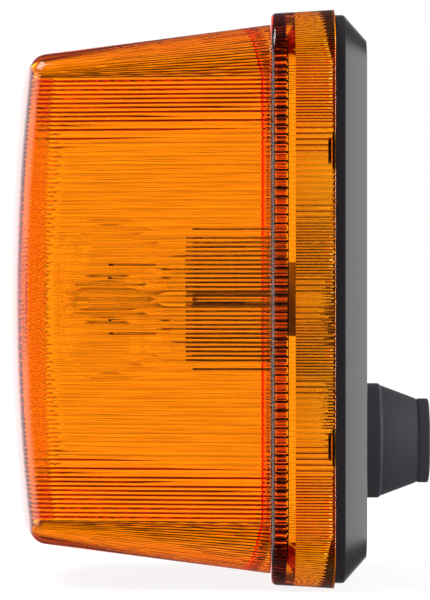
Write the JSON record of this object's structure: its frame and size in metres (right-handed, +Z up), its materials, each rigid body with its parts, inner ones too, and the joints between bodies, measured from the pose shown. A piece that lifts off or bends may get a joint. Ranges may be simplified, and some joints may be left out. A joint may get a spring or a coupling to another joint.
{
  "type": "vehicle indicator lamp",
  "caption": "Deep amber indicator lamp: crowned fluted lens with a fluted skirt snapped on a black base, bayonet bulb on a holder inside, rubber cable grommet at the rear.",
  "frame": {"origin": "middle of the flat back face of the base, where the lamp bolts to the vehicle", "axes": "+Z up the height of the lamp, +Y out of the back towards the vehicle, so the crowned front faces -Y, +X to the right seen from the front"},
  "size_m": [0.1, 0.1003, 0.1326],
  "materials": {
    "amber_lens": "polished clear amber acrylic with moulded flutes",
    "black_housing": "satin black moulding",
    "seal_rubber": "matte black",
    "mask_plastic": "matte black moulding",
    "grommet_rubber": "matte black",
    "bright_steel": "bright zinc plated",
    "rivet_steel": "bright",
    "sleeve_steel": "nickel plated",
    "fibre": "brown pressed fibre",
    "contact_brass": "satin",
    "spring_steel": "bright",
    "strip_brass": "satin",
    "clamp_steel": "zinc plated",
    "screw_steel": "zinc plated",
    "cap_brass": "nickel washed",
    "cap_glass": "black fused glass",
    "solder": "dull solder",
    "clear_glass": "clear",
    "stem_glass": "clear",
    "support_wire": "nickel wire",
    "filament_wire": "dull tungsten"
  },
  "bodies": {
    "root": {"lens": "amber_lens", "base_housing": "black_housing", "lens_seal": "seal_rubber", "mask_ring": "mask_plastic", "cable_grommet": "grommet_rubber", "holder_bracket": "bright_steel", "holder_rivets": "rivet_steel", "socket_shell": "sleeve_steel", "socket_insulator": "fibre", "socket_contact": "contact_brass", "socket_spring": "spring_steel", "supply_terminal": "strip_brass", "clamp_plates": "clamp_steel", "terminal_screws": "screw_steel", "bulb_cap": "cap_brass", "bulb_insulator": "cap_glass", "bulb_contact": "solder", "bulb_glass": "clear_glass", "bulb_mount": "stem_glass", "filament_supports": "support_wire", "bulb_filament": "filament_wire"}
  },
  "joints": []
}
